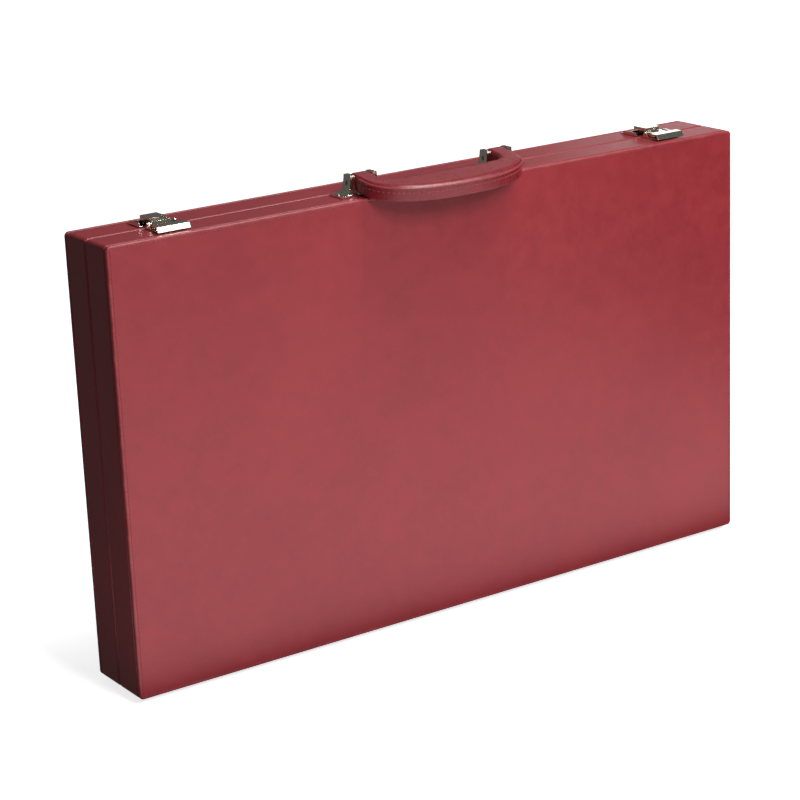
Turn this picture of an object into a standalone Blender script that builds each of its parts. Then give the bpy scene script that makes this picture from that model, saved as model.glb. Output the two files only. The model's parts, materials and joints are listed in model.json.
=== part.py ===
"""A leather-covered backgammon case that opens flat on a long hinge into its own board.

Run it with: blender --background --python part.py

The closed case stands on its hinge side. Shapes are modelled in the case's own frame: X along the case,
Y from the front half to the back half with the seam at Y = 0, Z up from the underside of the covered rails.
The empty named case_frame then sets the whole case down with its feet on the ground, centred on the origin.
"""

import math

import bmesh
import bpy
from mathutils import Matrix, Vector

MM = 0.001
GAP = 0.3 * MM

# Covered case: two equal halves, each a panel on four rails.
CASE_LENGTH = 545 * MM
CASE_HEIGHT = 324 * MM
HALF_DEPTH = 30.5 * MM
PANEL_THICKNESS = 3.3 * MM
PANEL_ROUNDING = 1.4 * MM
RAIL_THICKNESS = 7 * MM
RAIL_ROUNDING = 0.9 * MM
SEAM_GAP = 0.2 * MM

# Board inside each half: the base, the half bar along the hinge and the checker well along the latches.
FIELD_THICKNESS = 2.5 * MM
POINT_WIDTH = 40 * MM
POINTS_PER_TABLE = 6
BAR_WIDTH = 20 * MM
BAR_DROP = 1.5 * MM
WELL_RAIL_THICKNESS = 5 * MM
WELL_RAIL_DROP = 7 * MM
BOARD_ROUNDING = 0.8 * MM

# Long hinge: its axis lies below the rails, so that the halves open flat with the feet between them.
HINGE_LENGTH = 500 * MM
HINGE_KNUCKLES = 15
HINGE_AXIS_Z = -2.2 * MM
BARREL_RADIUS = 1.6 * MM
HINGE_PIN_RADIUS = 0.7 * MM
HINGE_BORE_RADIUS = 0.95 * MM
LEAF_THICKNESS = 0.9 * MM
LEAF_HEIGHT = 12 * MM
LEAF_SETBACK = 0.2 * MM
HINGE_POCKET_DEPTH = 1.4 * MM
HINGE_POCKET_END = 1 * MM

# Feet, two under each half. Those of the back half stand further in, so that they pass the others.
FOOT_RADIUS = 6 * MM
FOOT_SOLE_RADIUS = 4 * MM
FOOT_HEIGHT = 3.8 * MM
FOOT_DRAFT = 0.6 * MM
FOOT_X = {"front": 215 * MM, "back": 195 * MM}
FOOT_Y = 15.5 * MM

# Carrying handle, stored folded forward over the front edge.
HANDLE_LEG_X = 59.5 * MM
HANDLE_LEG_WIDTH = 14.1 * MM
HANDLE_THICKNESS = 12.5 * MM
HANDLE_OUTER_REACH = 48.1 * MM
HANDLE_SHOULDER = 16 * MM
HANDLE_INNER_REACH = 19.5 * MM
HANDLE_INNER_FILLET = 9 * MM
HANDLE_SHOULDER_POWERS = (2.4, 2.0)
HANDLE_END_REACH = 6.5 * MM
HANDLE_END_HALF = 6.6 * MM
HANDLE_ROUNDING = 2.6 * MM
HANDLE_FOLD_ANGLE = math.radians(8)
HANDLE_PIVOT_Y = -12.5 * MM
HANDLE_PIVOT_Z = CASE_HEIGHT + 9 * MM
HANDLE_PIN_RADIUS = 1.4 * MM
HANDLE_PIN_LENGTH = 21 * MM
PIN_CLEARANCE = 0.3 * MM

# Handle bracket: a saddle with a slot for the handle's leg and flanks that flare into a foot.
BRACKET_HALF_LENGTH = 21.5 * MM
BRACKET_FLANK_FOOT = 16.6 * MM
BRACKET_HALF_WIDTH = 8 * MM
BRACKET_FLANGE = 1.2 * MM
BRACKET_HEIGHT = 14.8 * MM
BRACKET_TOP_HALF_LENGTH = 11.2 * MM
BRACKET_TOP_HALF_WIDTH = 4.4 * MM
BRACKET_SLOT_HALF = 7.6 * MM
BRACKET_SLOT_FLOOR = 1.1 * MM
BRACKET_RIVET_X = 19.3 * MM

# Latches: a lever on the front half draws a hooked link over a strike on the back half.
LATCH_X = 217 * MM
SHEET = 0.7 * MM
LATCH_BASE_WIDTH = 20.8 * MM
LATCH_BASE_FRONT = -21.5 * MM
LATCH_BASE_BACK = -2.5 * MM
CHEEK_THICKNESS = 0.8 * MM
CHEEK_FRONT = -9.5 * MM
CHEEK_INSET = 0.1 * MM
LEVER_PIVOT = (-6 * MM, 3.4 * MM)
LINK_PIVOT = (-12.6 * MM, 2.7 * MM)
TRUNNION_RADIUS = 1.1 * MM
TRUNNION_CLEARANCE = 0.25 * MM
TRUNNION_REACH = 10.9 * MM
CHEEK_RADIUS = 1.9 * MM
LEVER_ARM_INSIDE = 7.4 * MM
LEVER_ARM_THICKNESS = 1.4 * MM
LEVER_ARM_RADIUS = 1.5 * MM
TAB_WIDTH = 25 * MM
TAB_OUTLINE = (
    (-15.3 * MM, 4.9 * MM),
    (-21.9 * MM, 5 * MM),
    (-22.6 * MM, 4.6 * MM),
    (-24.3 * MM, 1.2 * MM),
    (-23.4 * MM, 0.8 * MM),
    (-21.8 * MM, 4 * MM),
    (-15.3 * MM, 3.9 * MM),
)
LEVER_ARM_FRONT = ((-17.4 * MM, 4.5 * MM), (-17.4 * MM, 3.4 * MM))
LINK_WIDTH = 13 * MM
LINK_SHEET = 0.8 * MM
LINK_LOW_TOP = 4.2 * MM
LINK_HIGH_TOP = 6.6 * MM
LINK_STEP_Y = -2.5 * MM
LINK_END_Y = 12 * MM
LINK_HOOK_TIP = 2.2 * MM
LINK_PIN_RADIUS = 0.75 * MM
LINK_PIN_LENGTH = 17.4 * MM
LINK_BORE_RADIUS = 1 * MM
STRIKE_WIDTH = 24 * MM
STRIKE_FRONT = 2.5 * MM
STRIKE_BACK = 21 * MM
STRIKE_CHEEK_BACK = 17 * MM
STRIKE_CHEEK_TOP = 3 * MM
STRIKE_LIP = (8.2 * MM, 9.3 * MM)
STRIKE_LIP_TOP = 1.9 * MM
STRIKE_LIP_HALF = 6 * MM
RIVET_RADIUS = 1.7 * MM
RIVET_HEIGHT = 0.8 * MM
RIVET_SEAT = 0.2 * MM
LATCH_RIVET_X = 5.5 * MM
BASE_RIVET_Y = -17.6 * MM
STRIKE_RIVET_Y = 17.5 * MM

TOP = CASE_HEIGHT
INSIDE_HALF_LENGTH = CASE_LENGTH / 2 - RAIL_THICKNESS - GAP
INSIDE_BOTTOM = RAIL_THICKNESS + GAP
INSIDE_TOP = CASE_HEIGHT - RAIL_THICKNESS - GAP
RAIL_BACK = HALF_DEPTH - PANEL_THICKNESS - GAP
FIELD_FACE = RAIL_BACK - FIELD_THICKNESS
BAR_TOP = INSIDE_BOTTOM + BAR_WIDTH
WELL_RAIL_BOTTOM = BAR_TOP + POINT_WIDTH * POINTS_PER_TABLE + GAP
WELL_BOTTOM = WELL_RAIL_BOTTOM + WELL_RAIL_THICKNESS

LEATHER = ("oxblood_leather", (0.235, 0.028, 0.04), 0.42, 0.0)
EDGE_LEATHER = ("oxblood_rim_leather", (0.16, 0.018, 0.024), 0.4, 0.0)
NICKEL = ("polished_nickel", (0.78, 0.75, 0.7), 0.14, 1.0)
STEEL = ("hinge_steel", (0.6, 0.58, 0.54), 0.28, 1.0)
FELT = ("field_felt", (0.03, 0.09, 0.07), 0.95, 0.0)
BAR_LEATHER = ("bar_leather", (0.05, 0.02, 0.02), 0.5, 0.0)

parts = None
cutters = None


def clear_scene():
    for obj in list(bpy.data.objects):
        bpy.data.objects.remove(obj, do_unlink=True)


def new_collection(name):
    collection = bpy.data.collections.new(name)
    bpy.context.scene.collection.children.link(collection)
    return collection


def material_of(obj, finish):
    """Gives the object its own Principled material of this finish."""
    name, colour, roughness, metallic = finish
    material = bpy.data.materials.new(f"{obj.name}_{name}")
    material.use_nodes = True
    shader = material.node_tree.nodes["Principled BSDF"]
    shader.inputs["Base Color"].default_value = (*colour, 1.0)
    shader.inputs["Roughness"].default_value = roughness
    shader.inputs["Metallic"].default_value = metallic
    material.diffuse_color = (*colour, 1.0)
    obj.data.materials.clear()
    obj.data.materials.append(material)


def object_of(name, mesh, finish=None):
    """A part if it has a finish, or else a hidden tool shape."""
    obj = bpy.data.objects.new(name, mesh)
    if finish is None:
        cutters.objects.link(obj)
        obj.hide_render = True
        obj.display_type = "WIRE"
    else:
        parts.objects.link(obj)
        material_of(obj, finish)
    return obj


def box(name, low, high, finish=None):
    """A box between two corners."""
    low, high = Vector(low), Vector(high)
    size = high - low
    place = Matrix.Translation((low + high) / 2) @ Matrix.Diagonal((*size, 1.0))
    shape = bmesh.new()
    bmesh.ops.create_cube(shape, size=1.0, matrix=place)
    mesh = bpy.data.meshes.new(name)
    shape.to_mesh(mesh)
    shape.free()
    return object_of(name, mesh, finish)


def rod(name, radius, start, end, finish=None, sides=16):
    """A capped cylinder along X from start to end, both at the same height and depth."""
    start, end = Vector(start), Vector(end)
    turned = Matrix.Rotation(math.pi / 2, 4, "Y")
    shape = bmesh.new()
    bmesh.ops.create_cone(
        shape,
        cap_ends=True,
        segments=sides,
        radius1=radius,
        radius2=radius,
        depth=(end - start).length,
        matrix=Matrix.Translation((start + end) / 2) @ turned,
    )
    mesh = bpy.data.meshes.new(name)
    shape.to_mesh(mesh)
    shape.free()
    obj = object_of(name, mesh, finish)
    shade_round(obj)
    return obj


def slab(name, outline, thickness, place, finish=None):
    """A flat closed outline given half its thickness to each side, then turned and moved by place."""
    curve = bpy.data.curves.new(name, "CURVE")
    curve.dimensions = "2D"
    curve.fill_mode = "BOTH"
    curve.extrude = thickness / 2
    spline = curve.splines.new("POLY")
    spline.points.add(len(outline) - 1)
    for point, (across, up) in zip(spline.points, outline):
        point.co = (across, up, 0.0, 1.0)
    spline.use_cyclic_u = True
    drawn = bpy.data.objects.new(f"{name}_outline", curve)
    cutters.objects.link(drawn)
    bpy.context.view_layer.update()
    evaluated = drawn.evaluated_get(bpy.context.evaluated_depsgraph_get())
    mesh = bpy.data.meshes.new_from_object(evaluated)
    bpy.data.objects.remove(drawn, do_unlink=True)
    shape = bmesh.new()
    shape.from_mesh(mesh)
    bmesh.ops.remove_doubles(shape, verts=shape.verts, dist=1e-6)
    bmesh.ops.transform(shape, matrix=place, verts=shape.verts)
    bmesh.ops.recalc_face_normals(shape, faces=shape.faces)
    shape.to_mesh(mesh)
    shape.free()
    mesh.materials.clear()
    mesh.name = name
    return object_of(name, mesh, finish)


def in_depth_plane(x):
    """Places an outline of (depth, height) points in the upright plane at x."""
    return Matrix.Translation((x, 0, 0)) @ Matrix(((0, 0, 1, 0), (1, 0, 0, 0), (0, 1, 0, 0), (0, 0, 0, 1)))


def in_length_plane(y):
    """Places an outline of (length, height) points in the upright plane at y."""
    return Matrix.Translation((0, y, 0)) @ Matrix(((1, 0, 0, 0), (0, 0, -1, 0), (0, 1, 0, 0), (0, 0, 0, 1)))


def turned(name, profile, at, finish):
    """A turned piece about the Z axis through at. The profile runs down from the top's centre."""
    mesh = bpy.data.meshes.new(name)
    edges = [(i, i + 1) for i in range(len(profile) - 1)]
    mesh.from_pydata([(radius, 0.0, height) for radius, height in profile], edges, [])
    obj = object_of(name, mesh, finish)
    obj.location = at
    screw = obj.modifiers.new("turn", "SCREW")
    screw.steps = 16
    screw.render_steps = 16
    screw.use_merge_vertices = True
    screw.merge_threshold = 0.00001
    screw.use_smooth_shade = True
    return obj


def shade_round(obj, angle=40):
    obj.data.shade_smooth()
    obj.data.set_sharp_from_angle(angle=math.radians(angle))


def rounded(obj, width, segments=1):
    bevel = obj.modifiers.new("rounding", "BEVEL")
    bevel.width = width
    bevel.segments = segments
    bevel.limit_method = "ANGLE"
    bevel.angle_limit = math.radians(40)
    return obj


def combine(obj, tool, operation, solver="EXACT"):
    """Joins the tool to the object, cuts it away, or keeps what the two share."""
    step = obj.modifiers.new(operation.lower(), "BOOLEAN")
    step.operation = operation
    step.solver = solver
    step.object = tool
    return obj


def arc(centre, radius, start, end, steps):
    """Points along an arc, angles in degrees from the first axis towards the second."""
    found = []
    for i in range(steps + 1):
        angle = math.radians(start + (end - start) * i / steps)
        found.append((centre[0] + radius * math.cos(angle), centre[1] + radius * math.sin(angle)))
    return found


def empty(name, at, parent=None):
    """An empty at a place given in the case's frame."""
    marker = bpy.data.objects.new(name, None)
    marker.empty_display_size = 0.02
    parts.objects.link(marker)
    marker.parent = parent
    origin = Vector(parent["place"]) if parent else Vector((0, 0, 0))
    marker["place"] = tuple(at)
    marker.location = Vector(at) - origin
    return marker


def hang(obj, pivot):
    """Puts an object and its tool shapes under the empty they turn with, without moving them."""
    place = Vector(pivot["place"])
    obj.parent = pivot
    if obj.location.length:
        obj.location = obj.location - place
    else:
        obj.data.transform(Matrix.Translation(-place))
    for step in obj.modifiers:
        if step.type == "BOOLEAN" and step.object.parent is None:
            hang(step.object, pivot)
    return obj


def half_box(name, side, low, high, finish):
    """A box of one half: x and z as given, depth counted from the seam towards the panel."""
    near, far = side * low[1], side * high[1]
    corner_low = (low[0], min(near, far), low[2])
    corner_high = (high[0], max(near, far), high[2])
    return box(name, corner_low, corner_high, finish)


def covered_case(half, side, pivot):
    """The panel and four rails of one half. side is -1 for the front half and 1 for the back half."""
    end = CASE_LENGTH / 2
    inner = end - RAIL_THICKNESS
    panel = half_box(
        f"{half}_panel", side, (-end, HALF_DEPTH - PANEL_THICKNESS, 0), (end, HALF_DEPTH, TOP), LEATHER
    )
    hang(rounded(panel, PANEL_ROUNDING, 2), pivot)
    top = half_box(
        f"{half}_top_rail",
        side,
        (-end, SEAM_GAP, TOP - RAIL_THICKNESS),
        (end, RAIL_BACK, TOP),
        EDGE_LEATHER,
    )
    hang(rounded(top, RAIL_ROUNDING), pivot)
    bottom = half_box(
        f"{half}_bottom_rail", side, (-end, SEAM_GAP, 0), (end, RAIL_BACK, RAIL_THICKNESS), EDGE_LEATHER
    )
    rounded(bottom, RAIL_ROUNDING)
    reach = HINGE_LENGTH / 2 + HINGE_POCKET_END
    leaf_pocket = half_box(
        f"{half}_leaf_pocket",
        side,
        (-reach, -SEAM_GAP, -RAIL_THICKNESS),
        (reach, HINGE_POCKET_DEPTH, 2 * RAIL_THICKNESS),
        None,
    )
    combine(bottom, leaf_pocket, "DIFFERENCE")
    hang(bottom, pivot)
    for word, sign in (("left", -1), ("right", 1)):
        low_x, high_x = sorted((sign * inner, sign * end))
        rail = half_box(
            f"{half}_{word}_rail",
            side,
            (low_x, SEAM_GAP, INSIDE_BOTTOM),
            (high_x, RAIL_BACK, INSIDE_TOP),
            EDGE_LEATHER,
        )
        hang(rounded(rail, RAIL_ROUNDING), pivot)


def board(half, side, pivot):
    """The playing field, half bar, well rail and well divider of one half."""
    reach = INSIDE_HALF_LENGTH
    field = half_box(
        f"{half}_playing_field",
        side,
        (-reach, FIELD_FACE, INSIDE_BOTTOM),
        (reach, RAIL_BACK, INSIDE_TOP),
        FELT,
    )
    hang(field, pivot)
    floor = FIELD_FACE - GAP
    bar = half_box(
        f"{half}_half_bar", side, (-reach, BAR_DROP, INSIDE_BOTTOM), (reach, floor, BAR_TOP), BAR_LEATHER
    )
    hang(rounded(bar, BOARD_ROUNDING), pivot)
    well_rail = half_box(
        f"{half}_well_rail",
        side,
        (-reach, WELL_RAIL_DROP, WELL_RAIL_BOTTOM),
        (reach, floor, WELL_BOTTOM),
        BAR_LEATHER,
    )
    hang(rounded(well_rail, BOARD_ROUNDING), pivot)
    thick = WELL_RAIL_THICKNESS / 2
    divider = half_box(
        f"{half}_well_divider",
        side,
        (-thick, WELL_RAIL_DROP, WELL_BOTTOM + GAP),
        (thick, floor, INSIDE_TOP),
        BAR_LEATHER,
    )
    hang(rounded(divider, BOARD_ROUNDING), pivot)


def hinge_leaf(half, side, pivot, first):
    """One leaf of the long hinge with every second knuckle, starting at the knuckle numbered first."""
    pitch = HINGE_LENGTH / HINGE_KNUCKLES
    end = HINGE_LENGTH / 2
    plate_bottom = HINGE_AXIS_Z + BARREL_RADIUS + GAP
    near, far = LEAF_SETBACK, LEAF_SETBACK + LEAF_THICKNESS
    name = f"{half}_hinge_leaf"
    leaf = half_box(name, side, (-end, near, plate_bottom), (end, far, LEAF_HEIGHT), STEEL)
    for number in range(first, HINGE_KNUCKLES, 2):
        start = -end + pitch * number + GAP / 2
        stop = start + pitch - GAP
        web = half_box(
            f"{name}_web_{number}",
            side,
            (start, near, HINGE_AXIS_Z),
            (stop, far, plate_bottom + LEAF_THICKNESS),
            None,
        )
        combine(leaf, web, "UNION")
        knuckle = rod(
            f"{name}_knuckle_{number}",
            BARREL_RADIUS,
            (start, 0, HINGE_AXIS_Z),
            (stop, 0, HINGE_AXIS_Z),
            sides=12,
        )
        combine(leaf, knuckle, "UNION")
    bore = rod(
        f"{name}_bore",
        HINGE_BORE_RADIUS,
        (-end - RAIL_THICKNESS, 0, HINGE_AXIS_Z),
        (end + RAIL_THICKNESS, 0, HINGE_AXIS_Z),
        sides=12,
    )
    combine(leaf, bore, "DIFFERENCE")
    hang(leaf, pivot)


def foot(name, x, y, pivot):
    top = -GAP
    profile = [
        (0, top),
        (FOOT_RADIUS, top),
        (FOOT_RADIUS, top - FOOT_HEIGHT / 3),
        (FOOT_RADIUS - FOOT_DRAFT, top - FOOT_HEIGHT * 0.7),
        (FOOT_SOLE_RADIUS, top - FOOT_HEIGHT),
        (0, top - FOOT_HEIGHT),
    ]
    hang(turned(name, profile, (x, y, 0), NICKEL), pivot)


def rivet(name, x, y, z, pivot):
    """A domed rivet head just above the sheet that it holds."""
    base = z + RIVET_SEAT
    profile = [
        (0, base + RIVET_HEIGHT),
        (RIVET_RADIUS * 0.6, base + RIVET_HEIGHT * 0.85),
        (RIVET_RADIUS, base + RIVET_HEIGHT * 0.25),
        (RIVET_RADIUS, base),
        (0, base),
    ]
    obj = turned(name, profile, (x, y, 0), NICKEL)
    obj.modifiers["turn"].steps = 10
    obj.modifiers["turn"].render_steps = 10
    hang(obj, pivot)


def shoulder_reach(x):
    """How far the grip's outer edge reaches at this distance from the middle."""
    outer = HANDLE_LEG_X + HANDLE_LEG_WIDTH / 2
    across_power, reach_power = HANDLE_SHOULDER_POWERS
    share = max(0.0, 1 - (abs(x) / outer) ** across_power)
    return HANDLE_SHOULDER + (HANDLE_OUTER_REACH - HANDLE_SHOULDER) * share ** (1 / reach_power)


def handle_outline():
    """The handle seen flat: x along the case, reach away from the pivots, in the order of its edge."""
    outer = HANDLE_LEG_X + HANDLE_LEG_WIDTH / 2
    inner = HANDLE_LEG_X - HANDLE_LEG_WIDTH / 2
    leg_end = -2 * HANDLE_END_REACH
    steps = 14
    outer_edge = []
    for i in range(-steps, steps + 1):
        x = outer * math.sin(math.pi / 2 * i / steps)
        outer_edge.append((x, shoulder_reach(x)))
    corner = HANDLE_INNER_REACH - HANDLE_INNER_FILLET
    right_fillet = arc((inner - HANDLE_INNER_FILLET, corner), HANDLE_INNER_FILLET, 0, 90, 4)
    left_fillet = arc((HANDLE_INNER_FILLET - inner, corner), HANDLE_INNER_FILLET, 90, 180, 4)
    right_leg = [(outer, leg_end), (inner, leg_end)]
    left_leg = [(-inner, leg_end), (-outer, leg_end)]
    return outer_edge + right_leg + right_fillet + left_fillet + left_leg


def handle_side():
    """The handle seen from its side: reach away from the pivots, height, with the legs' ends rounded."""
    steps = 8
    rounded_end = []
    for i in range(steps + 1):
        angle = math.pi * (0.5 + i / steps)
        rounded_end.append((HANDLE_END_REACH * math.cos(angle), HANDLE_END_HALF * math.sin(angle)))
    far = 2 * HANDLE_OUTER_REACH
    return [(far, HANDLE_END_HALF)] + rounded_end + [(far, -HANDLE_END_HALF)]


def handle(pivot):
    """The grip and its two legs as one moulded core, folded forward onto the front edge."""
    folded = Matrix.Translation((0, HANDLE_PIVOT_Y, HANDLE_PIVOT_Z)) @ Matrix.Rotation(
        math.pi + HANDLE_FOLD_ANGLE, 4, "X"
    )
    grip = slab("handle_grip", handle_outline(), HANDLE_THICKNESS, folded, LEATHER)
    envelope = slab("handle_side", handle_side(), CASE_LENGTH, folded @ in_depth_plane(0))
    combine(grip, envelope, "INTERSECT")
    rounded(grip, HANDLE_ROUNDING, 2)
    reach = CASE_LENGTH / 2
    bore = rod(
        "handle_bore",
        HANDLE_PIN_RADIUS + PIN_CLEARANCE,
        (-reach, HANDLE_PIVOT_Y, HANDLE_PIVOT_Z),
        (reach, HANDLE_PIVOT_Y, HANDLE_PIVOT_Z),
    )
    combine(grip, bore, "DIFFERENCE", "MANIFOLD")
    hang(grip, pivot)


def flare(half_foot, half_top, low, steps=7):
    """The right edge of a flank, from its foot up to the top, hollow on its outer side."""
    edge = []
    for i in range(steps + 1):
        angle = math.pi / 2 * i / steps
        across = half_foot - (half_foot - half_top) * math.sin(angle)
        up = low + (TOP + BRACKET_HEIGHT - low) * (1 - math.cos(angle))
        edge.append((across, up))
    return edge


def handle_bracket(word, x, pivot):
    """A cast saddle whose two flanks hold the pin of one handle leg."""
    floor = TOP + GAP
    slot = BRACKET_SLOT_HALF
    flange_top = floor + BRACKET_FLANGE
    right = [(BRACKET_HALF_LENGTH, floor), (BRACKET_HALF_LENGTH, flange_top)]
    right += flare(BRACKET_FLANK_FOOT, BRACKET_TOP_HALF_LENGTH, flange_top)
    left = [(-across, up) for across, up in reversed(right)]
    slot_edge = [(slot, TOP + BRACKET_HEIGHT), (slot, TOP + BRACKET_SLOT_FLOOR)]
    slot_edge += [(-across, up) for across, up in reversed(slot_edge)]
    outline = [(x + across, up) for across, up in right + slot_edge + left]
    name = f"handle_bracket_{word}"
    saddle = slab(name, outline, 4 * BRACKET_HALF_WIDTH, in_length_plane(HANDLE_PIVOT_Y), NICKEL)
    side = [(BRACKET_HALF_WIDTH, floor - RAIL_THICKNESS)]
    side += flare(BRACKET_HALF_WIDTH, BRACKET_TOP_HALF_WIDTH, flange_top)
    side.append((BRACKET_TOP_HALF_WIDTH, TOP + BRACKET_HEIGHT + RAIL_THICKNESS))
    taper = [(HANDLE_PIVOT_Y + across, up) for across, up in side]
    taper += [(HANDLE_PIVOT_Y - across, up) for across, up in reversed(side)]
    envelope = slab(f"{name}_taper", taper, 3 * BRACKET_HALF_LENGTH, in_depth_plane(x))
    combine(saddle, envelope, "INTERSECT")
    half_pin = BRACKET_HALF_LENGTH * 2
    bore = rod(
        f"{name}_bore",
        HANDLE_PIN_RADIUS + PIN_CLEARANCE,
        (x - half_pin, HANDLE_PIVOT_Y, HANDLE_PIVOT_Z),
        (x + half_pin, HANDLE_PIVOT_Y, HANDLE_PIVOT_Z),
    )
    combine(saddle, bore, "DIFFERENCE")
    hang(saddle, pivot)
    half_pin = HANDLE_PIN_LENGTH / 2
    pin = rod(
        f"handle_pin_{word}",
        HANDLE_PIN_RADIUS,
        (x - half_pin, HANDLE_PIVOT_Y, HANDLE_PIVOT_Z),
        (x + half_pin, HANDLE_PIVOT_Y, HANDLE_PIVOT_Z),
        STEEL,
    )
    hang(pin, pivot)
    for number, sign in ((1, -1), (2, 1)):
        rivet_x = x + sign * BRACKET_RIVET_X
        rivet(f"bracket_rivet_{word}_{number}", rivet_x, HANDLE_PIVOT_Y, flange_top, pivot)


def above_top(point):
    """A (depth, height over the case) point in the case's frame."""
    return (point[0], TOP + point[1])


def latch_base(word, x, pivot):
    """A pressed base plate with two cheeks that carry the lever."""
    half = LATCH_BASE_WIDTH / 2
    floor = TOP + GAP
    name = f"latch_base_{word}"
    low = (x - half, LATCH_BASE_FRONT, floor)
    high = (x + half, LATCH_BASE_BACK, floor + SHEET)
    plate = box(name, low, high, NICKEL)
    lever_y, lever_z = above_top(LEVER_PIVOT)
    root = floor + SHEET / 2
    outline = [(CHEEK_FRONT, root), (LATCH_BASE_BACK - CHEEK_INSET, root)]
    outline += arc((lever_y, lever_z), CHEEK_RADIUS, 40, 150, 6)
    for number, sign in ((1, -1), (2, 1)):
        middle = x + sign * (half - CHEEK_INSET - CHEEK_THICKNESS / 2)
        cheek = slab(f"{name}_cheek_{number}", outline, CHEEK_THICKNESS, in_depth_plane(middle))
        combine(plate, cheek, "UNION")
    bore_radius = TRUNNION_RADIUS + TRUNNION_CLEARANCE
    start = (x - 2 * half, lever_y, lever_z)
    stop = (x + 2 * half, lever_y, lever_z)
    bore = rod(f"{name}_bore", bore_radius, start, stop)
    combine(plate, bore, "DIFFERENCE")
    hang(plate, pivot)
    for number, sign in ((1, -1), (2, 1)):
        rivet_x = x + sign * LATCH_RIVET_X
        rivet(f"latch_base_rivet_{word}_{number}", rivet_x, BASE_RIVET_Y, floor + SHEET, pivot)


def latch_lever(word, x, pivot):
    """The finger tab with two arms, each with a trunnion in a cheek of the base."""
    name = f"latch_lever_{word}"
    outline = [above_top(point) for point in TAB_OUTLINE]
    tab = slab(name, outline, TAB_WIDTH, in_depth_plane(x), NICKEL)
    lever_centre, link_centre = above_top(LEVER_PIVOT), above_top(LINK_PIVOT)
    arm = arc(lever_centre, LEVER_ARM_RADIUS, -80, 95, 6)
    arm += [above_top(point) for point in LEVER_ARM_FRONT]
    arm += arc(link_centre, LEVER_ARM_RADIUS, 200, 275, 4)
    for number, sign in ((1, -1), (2, 1)):
        middle = x + sign * (LEVER_ARM_INSIDE + LEVER_ARM_THICKNESS / 2)
        piece = slab(f"{name}_arm_{number}", arm, LEVER_ARM_THICKNESS, in_depth_plane(middle))
        combine(tab, piece, "UNION")
        ends = sorted((sign * (LEVER_ARM_INSIDE + CHEEK_INSET), sign * TRUNNION_REACH))
        trunnion = rod(
            f"{name}_trunnion_{number}",
            TRUNNION_RADIUS,
            (x + ends[0], *lever_centre),
            (x + ends[1], *lever_centre),
            sides=12,
        )
        combine(tab, trunnion, "UNION")
    bore = rod(
        f"{name}_bore",
        LINK_BORE_RADIUS,
        (x - TAB_WIDTH, *link_centre),
        (x + TAB_WIDTH, *link_centre),
        sides=12,
    )
    combine(tab, bore, "DIFFERENCE")
    hang(tab, pivot)
    half_pin = LINK_PIN_LENGTH / 2
    pin = rod(
        f"latch_link_pin_{word}",
        LINK_PIN_RADIUS,
        (x - half_pin, *link_centre),
        (x + half_pin, *link_centre),
        STEEL,
        sides=12,
    )
    hang(pin, pivot)


def latch_link(word, x, pivot):
    """The draw plate: an eye on the link pin, a step up, and a turned-down end behind the strike's lip."""
    name = f"latch_link_{word}"
    eye_y, eye_z = above_top(LINK_PIVOT)
    step_foot = LINK_STEP_Y + LINK_SHEET
    outline = [
        (eye_y, TOP + LINK_LOW_TOP),
        (LINK_STEP_Y, TOP + LINK_LOW_TOP),
        (LINK_STEP_Y, TOP + LINK_HIGH_TOP),
        (LINK_END_Y, TOP + LINK_HIGH_TOP),
        (LINK_END_Y, TOP + LINK_HOOK_TIP),
        (LINK_END_Y - LINK_SHEET, TOP + LINK_HOOK_TIP),
        (LINK_END_Y - LINK_SHEET, TOP + LINK_HIGH_TOP - LINK_SHEET),
        (step_foot, TOP + LINK_HIGH_TOP - LINK_SHEET),
        (step_foot, TOP + LINK_LOW_TOP - LINK_SHEET),
        (eye_y, TOP + LINK_LOW_TOP - LINK_SHEET),
    ]
    link = slab(name, outline, LINK_WIDTH, in_depth_plane(x), NICKEL)
    half = LINK_WIDTH / 2
    eye = rod(f"{name}_eye", LEVER_ARM_RADIUS, (x - half, eye_y, eye_z), (x + half, eye_y, eye_z), sides=12)
    combine(link, eye, "UNION")
    for number, sign in ((1, -1), (2, 1)):
        low_x, high_x = sorted((sign * half, sign * (half - LINK_SHEET)))
        flange = box(
            f"{name}_flange_{number}",
            (x + low_x, step_foot, TOP + LINK_HOOK_TIP + LINK_SHEET),
            (x + high_x, LINK_END_Y - LINK_SHEET / 2, TOP + LINK_HIGH_TOP - LINK_SHEET / 2),
        )
        combine(link, flange, "UNION")
    bore = rod(
        f"{name}_bore",
        LINK_BORE_RADIUS,
        (x - LINK_WIDTH, eye_y, eye_z),
        (x + LINK_WIDTH, eye_y, eye_z),
        sides=12,
    )
    combine(link, bore, "DIFFERENCE")
    hang(link, pivot)


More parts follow.
